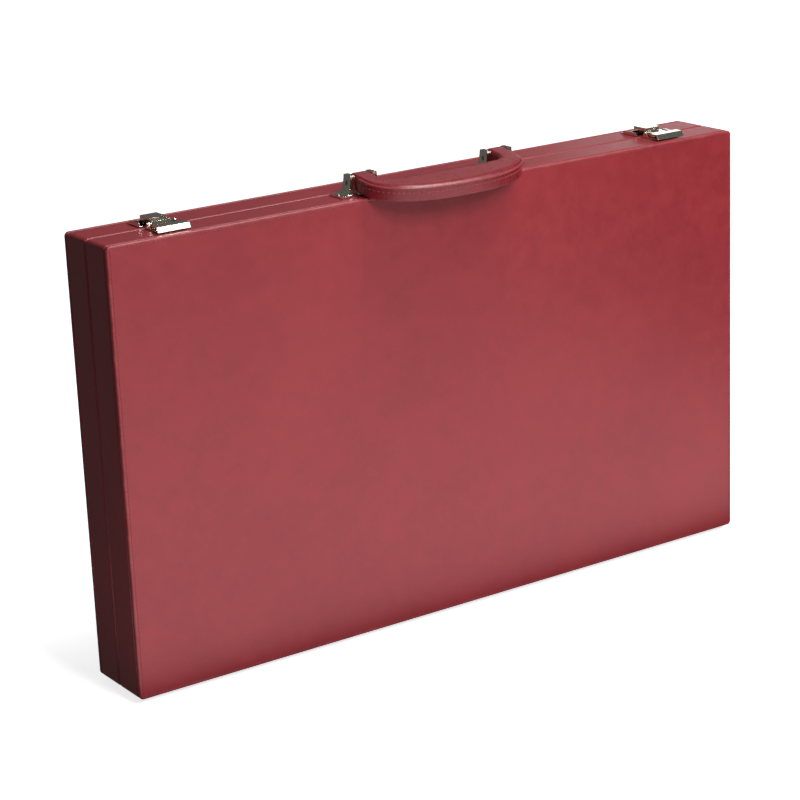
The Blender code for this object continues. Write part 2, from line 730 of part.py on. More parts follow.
def latch_strike(word, x, pivot):
    """The plate on the back half, with a lip for the link and a low cheek on each side."""
    half = STRIKE_WIDTH / 2
    floor = TOP + GAP
    name = f"latch_strike_{word}"
    plate = box(name, (x - half, STRIKE_FRONT, floor), (x + half, STRIKE_BACK, floor + SHEET), NICKEL)
    lip = box(
        f"{name}_lip",
        (x - STRIKE_LIP_HALF, STRIKE_LIP[0], floor + SHEET / 2),
        (x + STRIKE_LIP_HALF, STRIKE_LIP[1], TOP + STRIKE_LIP_TOP),
    )
    combine(plate, lip, "UNION")
    slope = STRIKE_CHEEK_TOP
    root = floor + SHEET / 2
    outline = [
        (STRIKE_FRONT + CHEEK_INSET, root),
        (STRIKE_CHEEK_BACK + slope, root),
        (STRIKE_CHEEK_BACK, TOP + STRIKE_CHEEK_TOP),
        (STRIKE_FRONT + slope / 2, TOP + STRIKE_CHEEK_TOP),
    ]
    for number, sign in ((1, -1), (2, 1)):
        middle = x + sign * (half - CHEEK_INSET - CHEEK_THICKNESS / 2)
        cheek = slab(f"{name}_cheek_{number}", outline, CHEEK_THICKNESS, in_depth_plane(middle))
        combine(plate, cheek, "UNION")
        rivet_x = x + sign * LATCH_RIVET_X
        rivet(f"latch_strike_rivet_{word}_{number}", rivet_x, STRIKE_RIVET_Y, floor + SHEET, pivot)
    hang(plate, pivot)


def set_down(frame):
    """Moves the whole case so that its lowest point is at Z = 0 and its box is centred over the origin."""
    bpy.context.view_layer.update()
    graph = bpy.context.evaluated_depsgraph_get()
    corners = []
    for obj in parts.objects:
        if obj.type == "MESH":
            made = obj.evaluated_get(graph)
            corners += [made.matrix_world @ Vector(corner) for corner in made.bound_box]
    low = [min(corner[axis] for corner in corners) for axis in range(3)]
    high = [max(corner[axis] for corner in corners) for axis in range(3)]
    frame.location = (-(low[0] + high[0]) / 2, -(low[1] + high[1]) / 2, -low[2])


def build():
    global parts, cutters
    clear_scene()
    parts = new_collection("backgammon_case")
    cutters = new_collection("tool_shapes")

    frame = empty("case_frame", (0, 0, 0))
    back_axis = empty("back_half_axis", (0, 0, HINGE_AXIS_Z), frame)
    handle_axis = empty("handle_axis", (0, HANDLE_PIVOT_Y, HANDLE_PIVOT_Z), frame)

    for half, side, pivot in (("front", -1, frame), ("back", 1, back_axis)):
        covered_case(half, side, pivot)
        board(half, side, pivot)
        hinge_leaf(half, side, pivot, 0 if half == "front" else 1)
        for word, sign in (("left", -1), ("right", 1)):
            foot(f"{half}_foot_{word}", sign * FOOT_X[half], side * FOOT_Y, pivot)

    end = HINGE_LENGTH / 2 - GAP
    hinge_pin = rod(
        "hinge_pin", HINGE_PIN_RADIUS, (-end, 0, HINGE_AXIS_Z), (end, 0, HINGE_AXIS_Z), STEEL, sides=12
    )
    hang(hinge_pin, frame)

    handle(handle_axis)
    for word, sign in (("left", -1), ("right", 1)):
        handle_bracket(word, sign * HANDLE_LEG_X, frame)
        x = sign * LATCH_X
        lever_axis = empty(f"latch_lever_axis_{word}", (x, *above_top(LEVER_PIVOT)), frame)
        link_axis = empty(f"latch_link_axis_{word}", (x, *above_top(LINK_PIVOT)), lever_axis)
        latch_base(word, x, frame)
        latch_lever(word, x, lever_axis)
        latch_link(word, x, link_axis)
        latch_strike(word, x, back_axis)

    set_down(frame)


build()
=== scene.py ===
"""Looks of a leather-covered backgammon case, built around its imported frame.

The frame holds the sizes, the joints and the working metal parts. This script covers the two halves in
stitched leather, lays the felt board with its points inside, builds the carrying handle, eases the edges of
the metal parts, and sets the studio around them. Every length is in metres.
"""

import json
import logging
import math
from collections.abc import Iterable, Sequence
from dataclasses import dataclass, field
from enum import Enum

import bmesh
import bpy
from mathutils import Matrix, Vector


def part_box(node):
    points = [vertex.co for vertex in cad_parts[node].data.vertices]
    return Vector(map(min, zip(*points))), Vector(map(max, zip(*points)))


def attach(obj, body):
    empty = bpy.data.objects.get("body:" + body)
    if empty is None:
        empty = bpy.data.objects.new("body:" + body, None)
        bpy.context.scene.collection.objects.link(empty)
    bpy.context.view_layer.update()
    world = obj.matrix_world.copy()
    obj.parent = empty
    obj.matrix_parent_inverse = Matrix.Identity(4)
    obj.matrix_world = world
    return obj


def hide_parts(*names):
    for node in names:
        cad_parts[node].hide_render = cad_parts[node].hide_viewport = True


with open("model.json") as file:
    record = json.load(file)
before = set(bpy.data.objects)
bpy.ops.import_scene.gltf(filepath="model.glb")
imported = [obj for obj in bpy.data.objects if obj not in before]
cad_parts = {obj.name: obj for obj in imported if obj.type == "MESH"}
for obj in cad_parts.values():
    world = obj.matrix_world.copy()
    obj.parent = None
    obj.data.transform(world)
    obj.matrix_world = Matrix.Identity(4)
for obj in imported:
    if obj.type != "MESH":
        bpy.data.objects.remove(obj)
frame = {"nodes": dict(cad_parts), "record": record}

LOG = logging.getLogger("backgammon_case")
MM = 0.001
MERGE = 0.002 * MM
METAL_SMOOTH = 40.0
COVER_SMOOTH = 50.0
HANDLE_SMOOTH = 60.0
THREAD_SMOOTH = 80.0
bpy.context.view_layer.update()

Colour = tuple[float, float, float]
Bm = bmesh.types.BMesh


class Half(Enum):
    """The two halves of the case, with the side of the seam that each lies on."""

    FRONT = ("front", -1)
    BACK = ("back", 1)

    @property
    def word(self) -> str:
        """The word that the half's nodes start with."""
        return self.value[0]

    @property
    def side(self) -> int:
        """-1 in front of the seam, 1 behind it."""
        return self.value[1]

    @property
    def body(self) -> str:
        """The body that the half's pieces ride on."""
        return f"{self.word}_half"


# ---------------------------------------------------------------- shader graphs


class Wire:
    """A number that flows between shader nodes. Arithmetic on it adds Math nodes."""

    def __init__(self, graph: "Graph", socket: bpy.types.NodeSocket) -> None:
        """Wraps an output socket of the graph's tree."""
        self.graph = graph
        self.socket = socket

    def _math(self, operation: str, *values: "Wire | float") -> "Wire":
        """Adds one Math node.

        Args:
            operation: the node's operation.
            values: its inputs, in order.

        Returns:
            The node's result.
        """
        return self.graph.add("ShaderNodeMath", {"operation": operation}, dict(enumerate(values)))

    def __add__(self, other: "Wire | float") -> "Wire":
        """The sum."""
        return self._math("ADD", self, other)

    __radd__ = __add__

    def __sub__(self, other: "Wire | float") -> "Wire":
        """The difference."""
        return self._math("SUBTRACT", self, other)

    def __rsub__(self, other: float) -> "Wire":
        """The difference, the other way round."""
        return self._math("SUBTRACT", other, self)

    def __mul__(self, other: "Wire | float") -> "Wire":
        """The product."""
        return self._math("MULTIPLY", self, other)

    __rmul__ = __mul__

    def smaller(self, other: "Wire | float") -> "Wire":
        """The smaller of the two."""
        return self._math("MINIMUM", self, other)

    def larger(self, other: "Wire | float") -> "Wire":
        """The larger of the two."""
        return self._math("MAXIMUM", self, other)

    def ramp(self, low: float, high: float) -> "Wire":
        """A smooth step between two values.

        Args:
            low: where the step is 0.
            high: where it is 1. It may be the lower of the two.

        Returns:
            The step.
        """
        ends = {"Value": self, "From Min": low, "From Max": high}
        if low >= high:
            ends = {"Value": self, "From Min": high, "From Max": low, "To Min": 1.0, "To Max": 0.0}
        return self.graph.add("ShaderNodeMapRange", {"interpolation_type": "SMOOTHSTEP"}, ends)


class Graph:
    """The node tree of one new material."""

    def __init__(self, name: str) -> None:
        """Makes the material with an empty tree and its output.

        Args:
            name: the material's name.
        """
        self.material = bpy.data.materials.new(name)
        self.material.use_nodes = True
        self.tree = self.material.node_tree
        self.tree.nodes.clear()
        self.output = self.tree.nodes.new("ShaderNodeOutputMaterial")

    def node(self, kind: str, settings: dict | None = None, inputs: dict | None = None) -> bpy.types.Node:
        """Adds one node.

        Args:
            kind: the node's type.
            settings: attributes to set on it first.
            inputs: values or links, by the socket's name or number.

        Returns:
            The node.
        """
        made = self.tree.nodes.new(kind)
        for key, value in (settings or {}).items():
            setattr(made, key, value)
        for key, value in (inputs or {}).items():
            if isinstance(value, Wire):
                self.tree.links.new(value.socket, made.inputs[key])
            else:
                made.inputs[key].default_value = value
        return made

    def add(
        self, kind: str, settings: dict | None = None, inputs: dict | None = None, out: int | str = 0
    ) -> Wire:
        """Adds one node and gives one of its outputs.

        Args:
            kind: the node's type.
            settings: attributes to set on it first.
            inputs: values or links, by the socket's name or number.
            out: the output's name or number.

        Returns:
            The output.
        """
        return Wire(self, self.node(kind, settings, inputs).outputs[out])

    def place(self) -> Wire:
        """Where a point is on the object, in metres."""
        return self.add("ShaderNodeTexCoord", out="Object")

    def parts(self, vector: Wire) -> tuple[Wire, Wire, Wire]:
        """The three numbers of a vector."""
        split = self.node("ShaderNodeSeparateXYZ", inputs={0: vector})
        return Wire(self, split.outputs[0]), Wire(self, split.outputs[1]), Wire(self, split.outputs[2])

    def noise(self, vector: Wire, scale: float, detail: float = 3.0, rough: float = 0.55) -> Wire:
        """Soft noise from 0 to 1."""
        values = {"Vector": vector, "Scale": scale, "Detail": detail, "Roughness": rough}
        return self.add("ShaderNodeTexNoise", None, values)

    def cells(self, vector: Wire, scale: float) -> Wire:
        """Distance to the nearest edge in a pattern of irregular cells."""
        settings = {"feature": "DISTANCE_TO_EDGE"}
        return self.add("ShaderNodeTexVoronoi", settings, {"Vector": vector, "Scale": scale})

    def stretched(self, vector: Wire, scale: tuple[float, float, float]) -> Wire:
        """The vector with each axis scaled."""
        return self.add("ShaderNodeMapping", None, {"Vector": vector, "Scale": scale})

    def tint(self, share: Wire | float, first: "Wire | Colour", second: "Wire | Colour") -> Wire:
        """A colour between two others.

        Args:
            share: 0 for the first, 1 for the second.
            first: a colour or a link to one.
            second: a colour or a link to one.

        Returns:
            The mixed colour.
        """
        ends = [end if isinstance(end, Wire) else (*end, 1.0) for end in (first, second)]
        return self.add("ShaderNodeMix", {"data_type": "RGBA"}, {0: share, 6: ends[0], 7: ends[1]}, out=2)

    def bump(self, height: Wire, depth: float, strength: float = 1.0, under: Wire | None = None) -> Wire:
        """A normal from a height.

        Args:
            height: the height, from 0 to 1.
            depth: how deep its full range is, in metres.
            strength: how much of it shows.
            under: a normal that this one is laid over.

        Returns:
            The normal.
        """
        values = {"Height": height, "Distance": depth, "Strength": strength}
        if under is not None:
            values["Normal"] = under
        return self.add("ShaderNodeBump", None, values)

    def finish(self, **values: "Wire | float | Colour") -> bpy.types.Material:
        """Closes the graph with a Principled shader.

        Args:
            values: its sockets by name, with _ for a space.

        Returns:
            The material.
        """
        inputs = {}
        for key, value in values.items():
            plain = isinstance(value, tuple) and len(value) == 3
            inputs[key.replace("_", " ")] = (*value, 1.0) if plain else value
        shader = self.node("ShaderNodeBsdfPrincipled", None, inputs)
        self.tree.links.new(shader.outputs[0], self.output.inputs[0])
        return self.material


# ---------------------------------------------------------------- finishes


@dataclass(frozen=True)
class Leather:
    """Smooth dyed leather: a clouded colour, a fine grain with pores, and corners rubbed by use."""

    name: str
    deep: Colour
    clear: Colour
    rubbed: Colour
    roughness: float = 0.46
    grain: float = 1150.0
    grain_depth: float = 0.045 * MM
    swell_depth: float = 0.25 * MM
    wear: tuple[Vector, Vector] | None = None
    wear_reach: float = 3.2 * MM

    def _rubbed_share(self, graph: Graph, place: Wire) -> Wire:
        """How rubbed a point is: only near two or more outer faces of the box in wear.

        Args:
            graph: the material's graph.
            place: where the point is.

        Returns:
            0 for unworn leather, up to 1 at a rubbed corner.
        """
        low, high = self.wear
        near = []
        for axis, part in enumerate(graph.parts(place)):
            gap = (part - low[axis]).smaller(high[axis] - part)
            near.append(gap.ramp(self.wear_reach, 0.0))
        first, second, third = near
        both = (first * second).larger(first * third).larger(second * third)
        return both * graph.noise(place, 55.0, 5.0, 0.7).ramp(0.42, 0.72)

    def make(self) -> bpy.types.Material:
        """Builds the material.

        Returns:
            The material.
        """
        graph = Graph(self.name)
        place = graph.place()
        cloud = graph.noise(place, 7.0, 4.0, 0.6)
        mottle = graph.noise(place, 85.0, 6.0, 0.68)
        share = (cloud * 0.55 + mottle * 0.45).ramp(0.36, 0.66)
        colour = graph.tint(share, self.deep, self.clear)
        creases = graph.cells(place, self.grain).ramp(0.0, 0.22)
        pores = graph.noise(place, self.grain * 1.7, 2.0, 0.5)
        grain = creases * 0.7 + pores * 0.3
        colour = graph.tint(grain.ramp(0.55, 0.1) * 0.35, colour, self.deep)
        rough = self.roughness + (mottle - 0.5) * 0.22 - grain * 0.05
        if self.wear is not None:
            rubbed = self._rubbed_share(graph, place)
            colour = graph.tint(rubbed * 0.6, colour, self.rubbed)
            rough = rough + rubbed * 0.1
        swell = graph.bump(graph.noise(place, 38.0, 2.0, 0.5), self.swell_depth, 0.35)
        normal = graph.bump(grain, self.grain_depth, 0.8, swell)
        return graph.finish(
            Base_Color=colour,
            Roughness=rough,
            Normal=normal,
            Specular_IOR_Level=0.5,
            Coat_Weight=0.12,
            Coat_Roughness=0.28,
        )


@dataclass(frozen=True)
class Polished:
    """Polished nickel plate: bright and slightly warm, with hair scratches and a dull film in patches."""

    name: str
    colour: Colour = (0.9, 0.84, 0.72)
    dull: Colour = (0.56, 0.49, 0.38)
    roughness: float = 0.09
    wave_depth: float = 0.06 * MM

    def make(self) -> bpy.types.Material:
        """Builds the material.

        Returns:
            The material.
        """
        graph = Graph(self.name)
        place = graph.place()
        film = graph.noise(place, 240.0, 5.0, 0.65).ramp(0.45, 0.75)
        hairs = graph.noise(graph.stretched(place, (500.0, 6500.0, 900.0)), 1.0, 2.0, 0.5).ramp(0.6, 0.72)
        colour = graph.tint(film * 0.5, self.colour, self.dull)
        rough = self.roughness + film * 0.12 + hairs * 0.1
        normal = graph.bump(graph.noise(place, 130.0, 2.0, 0.4), self.wave_depth, 0.25)
        return graph.finish(Base_Color=colour, Roughness=rough, Normal=normal, Metallic=1.0)


@dataclass(frozen=True)
class Brushed:
    """Rolled steel with fine brush lines along X."""

    name: str
    colour: Colour = (0.62, 0.6, 0.57)
    dark: Colour = (0.36, 0.34, 0.32)
    roughness: float = 0.3
    line_depth: float = 0.01 * MM

    def make(self) -> bpy.types.Material:
        """Builds the material.

        Returns:
            The material.
        """
        graph = Graph(self.name)
        place = graph.place()
        lines = graph.noise(graph.stretched(place, (60.0, 9000.0, 9000.0)), 1.0, 3.0, 0.6)
        film = graph.noise(place, 90.0, 5.0, 0.7).ramp(0.5, 0.8)
        colour = graph.tint(film * 0.45 + lines * 0.3, self.colour, self.dark)
        rough = self.roughness + lines * 0.14 + film * 0.15
        normal = graph.bump(lines, self.line_depth, 0.6)
        return graph.finish(Base_Color=colour, Roughness=rough, Normal=normal, Metallic=1.0)


@dataclass(frozen=True)
class Felt:
    """Short wool felt: matted fibres, lighter where the nap stands up."""

    name: str
    colour: Colour
    nap: Colour
    nap_depth: float = 0.14 * MM

    def make(self) -> bpy.types.Material:
        """Builds the material.

        Returns:
            The material.
        """
        graph = Graph(self.name)
        place = graph.place()
        fibres = graph.noise(place, 2400.0, 4.0, 0.75)
        matting = graph.noise(place, 170.0, 5.0, 0.7)
        brushed = graph.noise(place, 14.0, 3.0, 0.6)
        share = (fibres * 0.5 + matting * 0.3 + brushed * 0.2).ramp(0.38, 0.64)
        colour = graph.tint(share, self.colour, self.nap)
        normal = graph.bump(fibres * 0.7 + matting * 0.3, self.nap_depth, 0.9)
        return graph.finish(
            Base_Color=colour, Roughness=0.95, Normal=normal, Sheen_Weight=0.35, Sheen_Roughness=0.5
        )


@dataclass(frozen=True)
class Thread:
    """Waxed sewing thread with the twist of its plies."""

    name: str
    colour: Colour
    shade: Colour
    ply_depth: float = 0.06 * MM

    def make(self) -> bpy.types.Material:
        """Builds the material.

        Returns:
            The material.
        """
        graph = Graph(self.name)
        place = graph.place()
        plies = graph.noise(graph.stretched(place, (4200.0, 4200.0, 4200.0)), 1.0, 2.0, 0.5)
        colour = graph.tint(plies.ramp(0.35, 0.65), self.shade, self.colour)
        normal = graph.bump(plies, self.ply_depth, 0.9)
        return graph.finish(Base_Color=colour, Roughness=0.6, Normal=normal)


@dataclass(frozen=True)
class Paper:
    """The pale, even sweep that the case stands on, brighter far away."""

    name: str
    colour: Colour
    far: Colour = (1.3, 1.3, 1.3)

    def make(self) -> bpy.types.Material:
        """Builds the material.

        Returns:
            The material.
        """
        graph = Graph(self.name)
        place = graph.place()
        tone = graph.noise(place, 1.3, 2.0, 0.5)
        colour = graph.tint(tone * 0.1, self.colour, tuple(0.96 * part for part in self.colour))
        along_x, along_y, _ = graph.parts(place)
        away = (along_x * along_x + along_y * along_y).ramp(0.6, 6.0)
        glow = graph.tint(away, colour, self.far)
        return graph.finish(
            Base_Color=colour,
            Roughness=0.85,
            Specular_IOR_Level=0.2,
            Emission_Color=glow,
            Emission_Strength=0.9,
        )


# ---------------------------------------------------------------- mesh work


def shown(name: str, shape: Bm, material: bpy.types.Material, smooth_below: float = 35.0) -> bpy.types.Object:
    """Turns a finished bmesh into an object at the origin.

    Args:
        name: the piece's name.
        shape: the bmesh, which is freed.
        material: its finish.
        smooth_below: edges flatter than this many degrees are shaded smooth.

    Returns:
        The object.
    """
    mesh = bpy.data.meshes.new(name)
    shape.to_mesh(mesh)
    shape.free()
    mesh.materials.append(material)
    piece = bpy.data.objects.new(name, mesh)
    bpy.context.scene.collection.objects.link(piece)
    smooth(piece, smooth_below)
    return piece


def smooth(piece: bpy.types.Object, below: float) -> None:
    """Shades a piece smooth, with its flat faces left flat up to their edges.

    Args:
        piece: the object.
        below: edges that turn by less than this many degrees are shaded smooth.
    """
    piece.data.shade_smooth()
    piece.data.set_sharp_from_angle(angle=math.radians(below))
    step = piece.modifiers.new("even", "WEIGHTED_NORMAL")
    step.mode = "FACE_AREA"
    step.weight = 50
    step.keep_sharp = True
    bake(piece)


def bake(piece: bpy.types.Object) -> None:
    """Makes a piece's modifiers part of its mesh.

    Args:
        piece: the object.
    """
    bpy.context.view_layer.update()
    depsgraph = bpy.context.evaluated_depsgraph_get()
    done = bpy.data.meshes.new_from_object(piece.evaluated_get(depsgraph), depsgraph=depsgraph)
    piece.modifiers.clear()
    piece.data = done


def settle(piece: bpy.types.Object, body: str, slot: str, *nodes: str) -> bpy.types.Object:
    """Puts a piece on its body, hides the frame's nodes that it stands for, and logs it.

    Args:
        piece: the finished object.
        body: the body that it rides on.
        slot: the record's material slot; not used.
        nodes: the frame's nodes that it replaces.

    Returns:
        The piece.
    """
    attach(piece, body)
    if nodes:
        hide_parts(*nodes)
    LOG.info("%s: %d faces, on %s", piece.name, len(piece.data.polygons), body)
    return piece


def box_between(low: Vector, high: Vector) -> Bm:
    """A box between two corners.

    Args:
        low: its lowest corner.
        high: its highest corner.

    Returns:
        The box, as a new bmesh.
    """
    shape = bmesh.new()
    size = high - low
    bmesh.ops.create_cube(shape, size=1.0)
    bmesh.ops.scale(shape, vec=size, verts=shape.verts)
    bmesh.ops.translate(shape, vec=(low + high) / 2, verts=shape.verts)
    return shape


def middle_of(node: str) -> Vector:
    """The middle of a node's box."""
    low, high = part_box(node)
    return (low + high) / 2


def round_over(
    shape: Bm,
    found: Iterable[bmesh.types.BMEdge | bmesh.types.BMVert],
    radius: float,
    segments: int,
    affect: str = "EDGES",
) -> None:
    """Rounds some edges, or a flat shape's corners.

    Args:
        shape: the bmesh that they are in.
        found: the edges or the corners.
        radius: of the rounding.
        segments: its steps.
        affect: "EDGES", or "VERTICES" for corners.
    """
    bmesh.ops.bevel(
        shape,
        geom=list(found),
        offset=radius,
        offset_type="OFFSET",
        segments=segments,
        profile=0.5,
        affect=affect,
        material=-1,
        clamp_overlap=True,
    )


def edges_along(shape: Bm, axis: int) -> list[bmesh.types.BMEdge]:
    """The edges that run along one axis.

    Args:
        shape: the bmesh.
        axis: 0, 1 or 2 for X, Y or Z.

    Returns:
        The edges.
    """
    found = []
    for edge in shape.edges:
        run = (edge.verts[1].co - edge.verts[0].co).normalized()
        if abs(run[axis]) > 0.999:
            found.append(edge)
    return found


def faces_towards(shape: Bm, direction: Vector, at_least: float = 0.999) -> list[bmesh.types.BMFace]:
    """The faces whose normals point that way."""
    return [face for face in shape.faces if face.normal.dot(direction) > at_least]


def rim_edges(faces: Sequence[bmesh.types.BMFace]) -> list[bmesh.types.BMEdge]:
    """The edges around a group of faces.

    Args:
        faces: the group.

    Returns:
        Each edge once.
    """
    inside = set(faces)
    found = []
    for face in faces:
        for edge in face.edges:
            if any(other not in inside for other in edge.link_faces) and edge not in found:
                found.append(edge)
    return found


def eased(node: str, radius: float, segments: int = 2, sharp_above: float = 28.0) -> Bm:
    """A merged copy of a node's mesh with its sharp edges rounded.

    Args:
        node: the frame's node.
        radius: the rounding, or 0 for none.
        segments: its steps.
        sharp_above: edges that turn by more than this many degrees are rounded.

    Returns:
        The copy, as a bmesh.
    """
    shape = bmesh.new()
    shape.from_mesh(frame["nodes"][node].data)
    bmesh.ops.remove_doubles(shape, verts=shape.verts, dist=MERGE)
    bmesh.ops.dissolve_limit(
        shape, angle_limit=math.radians(1.0), verts=shape.verts, edges=shape.edges, delimit={"NORMAL"}
    )
    if radius:
        limit = math.radians(sharp_above)
        sharp = [edge for edge in shape.edges if edge.is_manifold and abs(edge.calc_face_angle(0.0)) > limit]
        round_over(shape, sharp, radius, segments)
    bmesh.ops.triangulate(shape, faces=[face for face in shape.faces if len(face.verts) > 4])
    return shape


def cut(piece: bpy.types.Object, tool: Bm) -> None:
    """Cuts a tool shape out of a piece, for good.

    Args:
        piece: the object that is cut.
        tool: the shape to take away, which is freed.
    """
    mesh = bpy.data.meshes.new("tool")
    tool.to_mesh(mesh)
    tool.free()
    helper = bpy.data.objects.new("tool", mesh)
    bpy.context.scene.collection.objects.link(helper)
    step = piece.modifiers.new("cut", "BOOLEAN")
    step.operation = "DIFFERENCE"
    step.solver = "EXACT"
    step.object = helper
    bake(piece)
    bpy.data.objects.remove(helper, do_unlink=True)


def stitches(
    name: str,
    route: Sequence[tuple[Vector, Vector]],
    pitch: float,
    length: float,
    width: float,
    material: bpy.types.Material,
) -> bpy.types.Object:
    """A seam of separate stitches along a route.

    Args:
        name: the piece's name.
        route: points of the seam in order, each with the outward direction there.
        pitch: from one stitch to the next.
        length: of one stitch.
        width: of its thread.
        material: the thread's finish.

    Returns:
        The seam as one object.
    """
    shape = bmesh.new()
    carried = pitch / 2
    for (start, up), (end, _) in zip(route, route[1:]):
        run = end - start
        ahead = run.normalized()
        side = up.cross(ahead).normalized()
        while carried < run.length:
            at = start + ahead * carried
            turn = Matrix((ahead, side, up)).transposed().to_4x4()
            size = Matrix.Diagonal((length / 2, width / 2, width * 0.4, 1.0))
            bmesh.ops.create_icosphere(
                shape, subdivisions=1, radius=1.0, matrix=Matrix.Translation(at) @ turn @ size
            )
            carried += pitch
        carried -= run.length
    return shown(name, shape, material, THREAD_SMOOTH)


# ---------------------------------------------------------------- covered halves


@dataclass
class CoveredHalf:
    """One half's outer shell: a stitched leather panel and a leather-wrapped rim."""

    half: Half
    panel_finish: bpy.types.Material
    rim_finish: bpy.types.Material
    thread: bpy.types.Material
    corner: float = 3.2 * MM
    panel_edge: float = 1.5 * MM
    panel_back_edge: float = 1.0 * MM
    seam_inset: float = 2.6 * MM
    seam_corner: float = 0.4 * MM
    channel: float = 0.9 * MM
    channel_depth: float = 0.22 * MM
    channel_bed: float = 0.04 * MM
    rim_outer_edge: float = 1.3 * MM
    rim_seam_edge: float = 1.9 * MM
    rim_inner_edge: float = 1.0 * MM
    stitch_pitch: float = 3.3 * MM
    stitch_length: float = 2.3 * MM
    stitch_width: float = 0.62 * MM
    pocket_depth: float = 1.3 * MM
    pocket_end: float = 0.8 * MM
    pocket_over: float = 5 * MM

    def outward(self) -> Vector:
        """The direction from the seam to this half's panel."""
        return Vector((0, self.half.side, 0))

    def panel(self) -> bpy.types.Object:
        """The panel: rounded corners, a soft outer edge and a pressed channel for its seam.

        Returns:
            The panel.
        """
        low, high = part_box(f"{self.half.word}_panel")
        shape = box_between(low, high)
        round_over(shape, edges_along(shape, 1), self.corner, 6)
        round_over(shape, rim_edges(faces_towards(shape, -self.outward())), self.panel_back_edge, 2)
        round_over(shape, rim_edges(faces_towards(shape, self.outward())), self.panel_edge, 5)
        face = faces_towards(shape, self.outward())
        border = self.seam_inset - self.panel_edge - self.channel / 2
        wall = (self.channel * 0.3, self.channel_depth * 0.8)
        bed = (self.channel * 0.2, self.channel_bed)
        steps = ((border, 0.0), (wall[0], -wall[1]), (bed[0], -bed[1]), bed, wall)
        for inset, lift in steps:
            bmesh.ops.inset_region(shape, faces=face, thickness=inset, depth=lift, use_even_offset=True)
        piece = shown(f"{self.half.word}_panel_cover", shape, self.panel_finish, COVER_SMOOTH)
        return settle(piece, self.half.body, "panel_leather", f"{self.half.word}_panel")

    def panel_seam(self) -> bpy.types.Object:
        """The row of stitches in the panel's channel.

        Returns:
            The seam.
        """
        low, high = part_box(f"{self.half.word}_panel")
        y = high.y if self.half.side > 0 else low.y
        y -= self.half.side * (self.channel_depth * 0.75)
        inset = self.seam_inset
        radius = max(self.corner - inset, self.seam_corner)
        corners = [
            (high.x - inset, high.z - inset, 0),
            (low.x + inset, high.z - inset, 90),
            (low.x + inset, low.z + inset, 180),
            (high.x - inset, low.z + inset, 270),
        ]
        route = []
        for x, z, start in corners:
            middle = Vector((x - radius * self._sign(start, 0), 0, z - radius * self._sign(start, 1)))
            for step in range(4):
                angle = math.radians(start + 30 * step)
                at = middle + Vector((radius * math.cos(angle), 0, radius * math.sin(angle)))
                route.append((Vector((at.x, y, at.z)), self.outward()))
        route.append(route[0])
        piece = stitches(
            f"{self.half.word}_panel_seam",
            route,
            self.stitch_pitch,
            self.stitch_length,
            self.stitch_width,
            self.thread,
        )
        return settle(piece, self.half.body, "panel_leather")

    @staticmethod
    def _sign(start: int, axis: int) -> int:
        """Which way the corner that starts at this angle lies along x or z."""
        angle = math.radians(start + 45)
        return 1 if (math.cos(angle) if axis == 0 else math.sin(angle)) > 0 else -1

    def rim(self) -> bpy.types.Object:
        """The wrapped rim: four rails as one ring, with rounded edges and a pocket for the hinge leaf.

        Returns:
            The rim.
        """
        word = self.half.word
        low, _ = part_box(f"{word}_bottom_rail")
        _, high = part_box(f"{word}_top_rail")
        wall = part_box(f"{word}_left_rail")[1].x - low.x
        shape = box_between(low, high)
        corners = edges_along(shape, 1)
        loops = []
        for direction in (self.outward(), -self.outward()):
            face = faces_towards(shape, direction)
            bmesh.ops.inset_region(shape, faces=face, thickness=wall, depth=0.0, use_even_offset=True)
            loops += rim_edges(face)
            bmesh.ops.delete(shape, geom=face, context="FACES_ONLY")
        bmesh.ops.bridge_loops(shape, edges=loops)
        bmesh.ops.recalc_face_normals(shape, faces=shape.faces)
        round_over(shape, corners, self.corner, 6)
        self._round_rim(shape, self.outward(), self.rim_outer_edge, 4)
        self._round_rim(shape, -self.outward(), self.rim_seam_edge, 5)
        piece = shown(f"{word}_rim_cover", shape, self.rim_finish, COVER_SMOOTH)
        cut(piece, self._leaf_pocket())
        smooth(piece, COVER_SMOOTH)
        rails = [f"{word}_{rail}_rail" for rail in ("top", "bottom", "left", "right")]
        return settle(piece, self.half.body, "rim_leather", *rails)

    def _round_rim(self, shape: Bm, direction: Vector, outer: float, segments: int) -> None:
        """Rounds the outer and inner edges of the ring's face on one side.

        Args:
            shape: the ring.
            direction: the way that the side faces.
            outer: the outer edges' rounding.
            segments: the outer rounding's steps.
        """
        ring = faces_towards(shape, direction)
        edges = rim_edges(ring)
        reach = max(max(vert.co.x for vert in edge.verts) for edge in edges)
        limit = reach - self.rim_inner_edge
        top = max(max(vert.co.z for vert in edge.verts) for edge in edges)
        bottom = min(min(vert.co.z for vert in edge.verts) for edge in edges)
        outside = []
        for edge in edges:
            middle = (edge.verts[0].co + edge.verts[1].co) / 2
            past_end = abs(middle.x) > limit - self.corner
            if past_end or middle.z > top - self.corner or middle.z < bottom + self.corner:
                outside.append(edge)
        round_over(shape, [edge for edge in edges if edge not in outside], self.rim_inner_edge, 3)
        outside = [edge for edge in outside if edge.is_valid]
        round_over(shape, outside, outer, segments)

    def _leaf_pocket(self) -> Bm:
        """The space that the hinge leaf needs in the rim.

        Returns:
            The space, as a bmesh.
        """
        low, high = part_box(f"{self.half.word}_hinge_leaf")
        side = self.half.side
        seam = middle_of("hinge_pin").y
        near, far = sorted((seam - side * self.pocket_over, seam + side * self.pocket_depth))
        start = Vector((low.x - self.pocket_end, near, low.z - self.pocket_over))
        return box_between(start, Vector((high.x + self.pocket_end, far, high.z + self.pocket_over)))

    def build(self) -> None:
        """Builds the half's outer pieces."""
        self.panel()
        self.panel_seam()
        self.rim()


# ---------------------------------------------------------------- board inside


